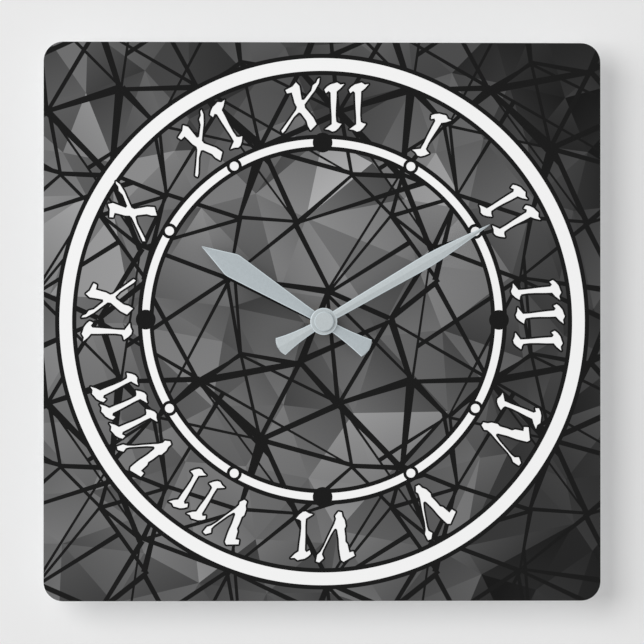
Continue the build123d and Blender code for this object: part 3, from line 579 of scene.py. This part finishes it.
def background_facets():
    """Points and triangles of the facets, with each one's centre, tone shift and slope."""
    rng = random.Random(FACET_SEED)
    points, _, facets, *_ = delaunay_2d_cdt(facet_corners(rng), [], [], 0, MERGE_DISTANCE)
    tones = []
    for facet in facets:
        centre = sum((points[i] for i in facet), Vector((0, 0))) / len(facet)
        slope = Vector([rng.uniform(-FACET_SLOPE, FACET_SLOPE) for _ in range(2)])
        tones.append((centre, rng.gauss(0, FACET_CONTRAST), slope))
    return list(points), [tuple(facet) for facet in facets], tones


def facet_tone(point, centre, shift, slope):
    """Linear tone at a point of a facet."""
    value = tone_field(*centre) * (1 + shift) + slope.dot(point - centre)
    return to_linear(max(DARKEST_FACET, value))


def tile_strokes():
    """Strokes of one tile: links between junctions, long thin ones and branches."""
    rng = random.Random(PATTERN_SEED)
    strokes, middles = [], set()

    def link(start, end, start_width, end_width):
        """Adds a stroke between two junctions, a little off both, unless they have one."""
        middle = tuple(round((a + b) / 2 % TILE, 1) for a, b in zip(start, end))
        ends = [value + rng.uniform(-SLACK, SLACK) for value in (*start, *end)]
        if middle not in middles:
            middles.add(middle)
            strokes.append((*ends, start_width, end_width))

    def pick(others, reach):
        """One of the junctions at a distance within `reach`."""
        return rng.choice([place for distance, place in others if reach[0] < distance < reach[1]])

    copies = [
        (x + column * TILE, z + row * TILE, width)
        for x, z, width in JUNCTIONS
        for column in (-1, 0, 1)
        for row in (-1, 0, 1)
    ]
    for x, z, width in JUNCTIONS:
        others = sorted((math.hypot(c[0] - x, c[1] - z), c) for c in copies)[1:]
        for _, other in others[:NEAR_LINKS]:
            if rng.random() < NEAR_CHANCE:
                start_width = width * rng.uniform(*NEAR_START)
                end_width = min(other[2], WIDEST_END) * rng.uniform(*NEAR_END)
                link((x, z), other[:2], start_width, end_width)
        other = pick(others, LONG_REACH)
        link((x, z), other[:2], width * rng.uniform(*LONG_START), rng.uniform(*LONG_END))
        if rng.random() < FAR_CHANCE:
            other = pick(others, FAR_REACH)
            link((x, z), other[:2], rng.uniform(*FAR_WIDTH), rng.uniform(*FAR_WIDTH))
    for x0, z0, x1, z1, *_ in rng.sample(strokes, BRANCHES):
        along = rng.uniform(*BRANCH_PLACE)
        turn = math.atan2(z1 - z0, x1 - x0) + rng.choice((-1, 1)) * rng.uniform(*BRANCH_TURN)
        length = rng.uniform(*BRANCH_REACH)
        x, z = x0 + (x1 - x0) * along, z0 + (z1 - z0) * along
        aim = x + length * math.cos(turn), z + length * math.sin(turn)
        end = min(copies, key=lambda c: math.hypot(c[0] - aim[0], c[1] - aim[1]))
        strokes.append((x, z, *end[:2], rng.uniform(*BRANCH_START), rng.uniform(*BRANCH_END)))
    return strokes


def tile_copies(stroke):
    """Copies of one stroke on every tile that reaches the panel."""
    x0, z0, x1, z1, *widths = stroke
    reach = PANEL_SIDE / 2 + PANEL_MARGIN
    tiles = range(-TILES_EACH_WAY, TILES_EACH_WAY + 1)
    for column in tiles:
        for row in tiles:
            xs = x0 + column * TILE, x1 + column * TILE
            zs = z0 + row * TILE, z1 + row * TILE
            if max(xs) > -reach and min(xs) < reach and max(zs) > -reach and min(zs) < reach:
                yield xs[0], zs[0], xs[1], zs[1], *widths


def anticlockwise(outline):
    """The same closed outline, turned to run anticlockwise."""
    area = sum(
        x0 * z1 - x1 * z0
        for (x0, z0), (x1, z1) in zip(outline, outline[1:] + outline[:1])
    )
    return outline if area > 0 else outline[::-1]


def print_shapes():
    """Every shape of the print: its name and its closed outline."""
    shapes = [
        ("panel", rounded_square(PANEL_SIDE, PANEL_CORNER)),
        ("hole", circle((0, 0), DIAL_HOLE)),
    ]
    for ring, centre, bands in (
        ("outer", OUTER_RING, OUTER_BANDS),
        ("inner", INNER_RING, INNER_BANDS),
    ):
        for band, radii in bands.items():
            for edge, radius in zip(("out", "in"), radii):
                shapes.append((f"{ring}_{band}_{edge}", circle(centre, radius)))
    for hour in range(12):
        place = dial_point(MARK_RADIUS, 30 * hour, INNER_RING)
        if hour % 3 == 0:
            shapes.append(("quarter_dot", circle(place, QUARTER_DOT, QUARTER_DOT_STEP)))
        else:
            shapes.append(("hour_rim", circle(place, HOUR_DOT_RIM, HOUR_RIM_STEP)))
            shapes.append(("hour_dot", circle(place, HOUR_DOT, HOUR_DOT_STEP)))
    for hour, letters in NUMERALS.items():
        for letter in letters:
            outline = glyph_outline(*letter, hour)
            shapes.append(("glyph", outline))
            shapes += [("glyph_rim", piece) for piece in edge_band(outline, GLYPH_RIM)]
    for stroke in tile_strokes():
        shapes += [("stroke", stroke_outline(*copy)) for copy in tile_copies(stroke)]
    return shapes


def ink_of(cover):
    """Ink of a patch, from the names of the shapes that cover it."""
    if "glyph" in cover or "hour_dot" in cover:
        return "ink_white"
    if cover & {"glyph_rim", "hour_rim", "quarter_dot"}:
        return "ink_black"
    for ring in ("inner", "outer"):
        for band, ink in (("white", "ink_white"), ("rim", "ink_black")):
            if f"{ring}_{band}_out" in cover and f"{ring}_{band}_in" not in cover:
                return ink
    return "ink_black" if "stroke" in cover else "ink_facets"


def cut_print():
    """Patches of the print: their points, and each one's corners, ink and corner tones."""
    points, facets, tones = background_facets()
    shapes = print_shapes()
    outlines = list(facets)
    for _, outline in shapes:
        outlines.append(tuple(range(len(points), len(points) + len(outline))))
        points += [Vector(point) for point in anticlockwise(outline)]
    points, _, patches, _, _, covers = delaunay_2d_cdt(points, [], outlines, 1, MERGE_DISTANCE)
    kept, inks, greys = [], [], []
    for patch, cover in zip(patches, covers):
        names = {shapes[i - len(facets)][0] for i in cover if i >= len(facets)}
        if "panel" not in names or "hole" in names:
            continue
        tone = tones[next(i for i in cover if i < len(facets))]
        kept.append(patch)
        inks.append(ink_of(names))
        greys += [facet_tone(points[corner], *tone) for corner in patch]
    return points, kept, inks, greys


def turn_to_front(obj):
    """Makes the faces of a flat mesh point to the front."""
    bm = bmesh.new()
    bm.from_mesh(obj.data)
    bmesh.ops.recalc_face_normals(bm, faces=bm.faces)
    if sum(face.normal.y for face in bm.faces) > 0:
        bmesh.ops.reverse_faces(bm, faces=bm.faces)
    bm.to_mesh(obj.data)
    bm.free()


def printed_face():
    """The whole print as one thin sheet, cut along the edge of every shape."""
    points, patches, inks, greys = cut_print()
    used = sorted({corner for patch in patches for corner in patch})
    place = {corner: index for index, corner in enumerate(used)}
    front = [(points[i].x, INK_FRONT, points[i].y) for i in used]
    obj = add_mesh("printed_face", front, [[place[i] for i in patch] for patch in patches])
    for ink in INKS:
        obj.data.materials.append(MATERIALS[ink])
    for polygon, ink in zip(obj.data.polygons, inks):
        polygon.material_index = INKS.index(ink)
    tone = obj.data.color_attributes.new("tone", "FLOAT_COLOR", "CORNER")
    for corner, value in zip(tone.data, greys):
        corner.color = (value, value, value * BLUE_SHARE, 1)
    turn_to_front(obj)
    solid = obj.modifiers.new("ink_thickness", "SOLIDIFY")
    solid.thickness = INK_DEPTH * MM
    solid.offset = -1
    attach(obj, "clock_body")
    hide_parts("dial_print")


# ---- hands ----------------------------------------------------------------------
# Half-width of each hand at a distance along it, from the tail's end to the tip.
HOUR_STATIONS = (
    (-26.3, 0.3), (-26.2, 1.4), (-25.9, 2.6), (-25.4, 3.8), (-24.8, 4.85), (-20.0, 3.95),
    (-15.0, 3.15), (-10.0, 2.55), (-5.0, 2.15), (5.0, 2.05), (12.0, 2.55), (20.0, 3.25),
    (30.0, 4.1), (38.0, 4.8), (45.0, 5.4), (50.4, 5.85), (51.6, 5.92), (52.8, 5.85),
    (53.8, 5.6), (57.0, 4.5), (60.5, 3.3), (65.0, 1.8), (69.8, 0.2),
)
MINUTE_STATIONS = (
    (-25.9, 0.3), (-25.8, 1.4), (-25.5, 2.6), (-25.0, 3.7), (-24.4, 4.75), (-20.0, 3.75),
    (-15.0, 2.95), (-10.0, 2.4), (-5.0, 2.05), (5.0, 2.0), (12.0, 2.2), (22.0, 2.45),
    (34.0, 2.7), (46.0, 3.0), (54.0, 3.2), (60.0, 3.2), (66.0, 2.9), (72.0, 2.4),
    (80.0, 1.65), (88.0, 0.85), (94.2, 0.15),
)

# Bevel along the edge of a hand, and least share of the half-width that it leaves.
EDGE_WIDTH = 0.42
EDGE_DROP = 0.16
LEAST_INNER = 0.3

# Bevel around the cap, and the share of its radius where the closing face starts.
CAP_BEVEL = 0.4
CAP_MIDDLE = 0.6
BOSS_SIDES = 72
CAP_SIDES = 96
ARBOR_HOLE = 1.7
TUBE_HOLE = 2.55


def hand_strip(verts, faces, edges, stations, direction, crease, front, back):
    """Adds one arm of a hand: flat behind, bevelled at the edges and creased in the middle."""
    across = Vector((-direction.y, direction.x))
    first = len(verts)
    for reach, half in stations:
        inner = max(half - EDGE_WIDTH, half * LEAST_INNER)
        row = (
            (-half, back), (-half, front + crease + EDGE_DROP), (-inner, front + crease),
            (0, front), (inner, front + crease), (half, front + crease + EDGE_DROP), (half, back),
        )
        for side, depth in row:
            point = direction * reach + across * side
            verts.append((point.x, depth, point.y))
    size = len(row)
    left_slope, right_slope, flat_back = 2, 3, size - 1
    for here in range(first, len(verts) - size, size):
        there = here + size
        for column in range(size):
            following = (column + 1) % size
            faces.append((here + column, here + following, there + following, there + column))
            # The sides and bevels get the painted highlight, a lighter paint.
            edges.append(column not in (left_slope, right_slope, flat_back))
    for end in (first, len(verts) - size):
        faces.append(list(range(end, end + size)))
        edges.append(True)


def revolve(verts, faces, edges, profile, sides, bevels, closed):
    """Adds a profile of (radius, depth) turned about the dial's axis.

    `bevels` are the sides of the profile that count as edges; these get the painted highlight.
    """
    first, size = len(verts), len(profile)
    for step in range(sides):
        for reach, depth in profile:
            x, z = polar(reach, 360 * step / sides)
            verts.append((x, depth, z))
    for step in range(sides):
        here, there = first + step * size, first + (step + 1) % sides * size
        for column in range(size if closed else size - 1):
            following = (column + 1) % size
            faces.append((here + column, here + following, there + following, there + column))
            edges.append(column in bevels)


def painted_piece(name, verts, faces, edges, paint):
    """Piece in one paint, with a painted highlight: its bevels along the edges are painted
    lighter.
    """
    obj = add_mesh(name, verts, faces)
    obj.data.materials.append(MATERIALS[paint])
    obj.data.materials.append(MATERIALS["hand_edge_highlight"])
    for polygon, edge in zip(obj.data.polygons, edges):
        polygon.material_index = int(edge)
    outward_normals(obj)
    return obj


def clock_hand(node, name, body, stations, degrees, crease, hole, boss, paint):
    """Painted hand: two arms and a round boss with a bevelled rim."""
    low, high = in_mm(node)
    direction = Vector(polar(1, degrees))
    verts, faces, edges = [], [], []
    tail = [station for station in stations if station[0] < 0]
    blade = [station for station in stations if station[0] > 0]
    for arm in (tail, blade):
        hand_strip(verts, faces, edges, arm, direction, crease, low.y, high.y)
    profile = (
        (hole, high.y), (hole, low.y), (boss - EDGE_WIDTH, low.y),
        (boss, low.y + EDGE_DROP), (boss, high.y),
    )
    revolve(verts, faces, edges, profile, BOSS_SIDES, bevels=(2, 3), closed=True)
    obj = painted_piece(name, verts, faces, edges, paint)
    obj.visible_shadow = False
    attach(obj, body)
    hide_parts(node)


def hub_cap():
    """Flat painted cap over the end of the minute arbor, with a bevelled rim."""
    low, high = in_mm("centre_cap")
    radius = (high.x - low.x) / 2
    profile = (
        (ARBOR_HOLE, high.y), (radius, high.y), (radius, low.y + CAP_BEVEL),
        (radius - CAP_BEVEL, low.y), (CAP_MIDDLE * radius, low.y),
    )
    verts, faces, edges = [], [], []
    revolve(verts, faces, edges, profile, CAP_SIDES, bevels=(2,), closed=False)
    for column in (0, len(profile) - 1):
        faces.append(list(range(column, len(verts), len(profile))))
        edges.append(False)
    # The cap gets the lighter copy of the hand paint, a painted highlight.
    obj = painted_piece("hands_cap", verts, faces, edges, "lit_hand_paint")
    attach(obj, "minute_assembly")
    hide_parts("centre_cap")


printed_face()
hub_cap()
clock_hand(
    "hour_hand", "hour_pointer", "hour_assembly", HOUR_STATIONS,
    degrees=148.4, crease=0.38, hole=TUBE_HOLE, boss=6.2, paint="hand_paint",
)
# The minute hand gets the lighter copy of the hand paint, a painted highlight.
clock_hand(
    "minute_hand", "minute_pointer", "minute_assembly", MINUTE_STATIONS,
    degrees=30.2, crease=0.5, hole=ARBOR_HOLE, boss=6.6, paint="lit_hand_paint",
)


# ---- stage, camera and lights ---------------------------------------------------
# Wall: half of its side and its depth behind the frame's origin, in millimetres.
WALL_REACH = 7000.0
WALL_DEPTH = 0.6

# Camera, in metres. PANEL_SHARE is the share of the picture's width that the panel takes.
CAMERA_DISTANCE = 5.0
CAMERA_BELOW = math.radians(0.6)
CAMERA_LEFT = math.radians(4.6)
CAMERA_AIM = Vector((-0.0003, INK_FRONT * MM, -0.0002))
PANEL_SHARE = 0.8673913
SENSOR_WIDTH = 36
ORIGIN = Vector((0, 0, 0))


def wall():
    """Pale wall that shows from the front only, so that it never hides the back."""
    mat, nodes, links, bsdf = shader("wall_paint", grey(0.825), roughness=0.9, specular=0.1)
    geometry = nodes.new("ShaderNodeNewGeometry")
    clear = nodes.new("ShaderNodeBsdfTransparent")
    mix = nodes.new("ShaderNodeMixShader")
    links.new(geometry.outputs["Backfacing"], mix.inputs["Fac"])
    links.new(bsdf.outputs["BSDF"], mix.inputs[1])
    links.new(clear.outputs["BSDF"], mix.inputs[2])
    links.new(mix.outputs["Shader"], nodes["Material Output"].inputs["Surface"])
    corners = [
        (x * WALL_REACH, WALL_DEPTH, z * WALL_REACH)
        for x, z in ((-1, -1), (1, -1), (1, 1), (-1, 1))
    ]
    obj = add_mesh("studio_wall", corners, [(0, 1, 2, 3)])
    obj.data.materials.append(mat)
    obj.visible_shadow = False


def place_towards(name, data, place, aim):
    """New object at `place` that looks at `aim`."""
    obj = bpy.data.objects.new(name, data)
    obj.location = place
    obj.rotation_euler = (aim - Vector(place)).to_track_quat("-Z", "Y").to_euler()
    bpy.context.scene.collection.objects.link(obj)
    return obj


def area_light(name, place, size, power):
    """Soft square light that points at the clock, in metres and watts."""
    data = bpy.data.lights.new(name, "AREA")
    data.shape = "SQUARE"
    data.size = size
    data.energy = power
    place_towards(name, data, place, ORIGIN)


def world_light(strength):
    """Even white light from all around."""
    world = bpy.data.worlds.new("studio")
    world.use_nodes = True
    background = world.node_tree.nodes["Background"]
    background.inputs["Color"].default_value = (1, 1, 1, 1)
    background.inputs["Strength"].default_value = strength
    bpy.context.scene.world = world


def camera():
    """Long lens, a little below and to the left of square on."""
    data = bpy.data.cameras.new("camera")
    data.sensor_width = SENSOR_WIDTH
    data.lens = SENSOR_WIDTH * CAMERA_DISTANCE / (PANEL_SIDE * MM / PANEL_SHARE)
    away = Vector((
        -math.sin(CAMERA_LEFT),
        -math.cos(CAMERA_LEFT) * math.cos(CAMERA_BELOW),
        -math.sin(CAMERA_BELOW),
    ))
    place = CAMERA_AIM + away.normalized() * CAMERA_DISTANCE
    bpy.context.scene.camera = place_towards("camera", data, place, CAMERA_AIM)


def paint_nodes():
    """Gives every CAD node the material of its slot."""
    slots = {part["node"]: part["material_slot"] for part in frame["record"]["subparts"]}
    for node, obj in frame["nodes"].items():
        material = MATERIALS.get(slots[node])
        if material:
            obj.data.materials.clear()
            obj.data.materials.append(material)


wall()
camera()
world_light(strength=0.585)
area_light("key", (-2.85, -3.8, 1.05), size=3.2, power=129)
area_light("back_fill", (2.7, 4.8, 3.0), size=3.6, power=225)
bpy.context.scene.view_settings.view_transform = "Standard"
paint_nodes()
